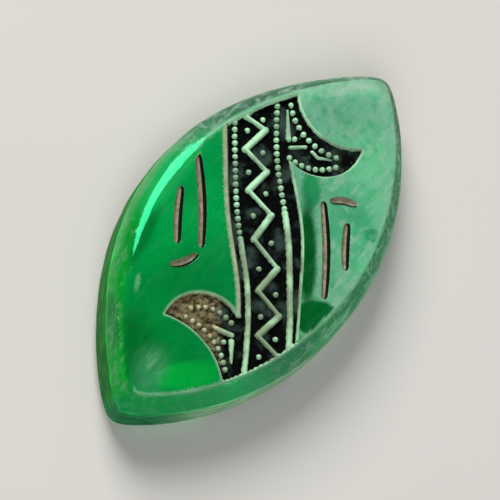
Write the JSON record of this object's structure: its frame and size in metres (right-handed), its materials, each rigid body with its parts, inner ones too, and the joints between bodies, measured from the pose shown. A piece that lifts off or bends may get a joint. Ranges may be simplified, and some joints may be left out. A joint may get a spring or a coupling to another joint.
{
  "type": "intaglio gem",
  "caption": "Pointed oval gem of clear green stone, its flat table cut with a sunk beaded zigzag band, horns and strokes.",
  "frame": {"origin": "centre of the flat back, on the surface the gem rests on", "axes": "+X along the length towards the upper horn's end, +Y towards the fuller side, +Z out of the carved table"},
  "size_m": [0.0448, 0.0238, 0.0069],
  "materials": {
    "stone": "polished, frosted in places"
  },
  "bodies": {
    "root": {"gem": "stone"}
  },
  "joints": []
}
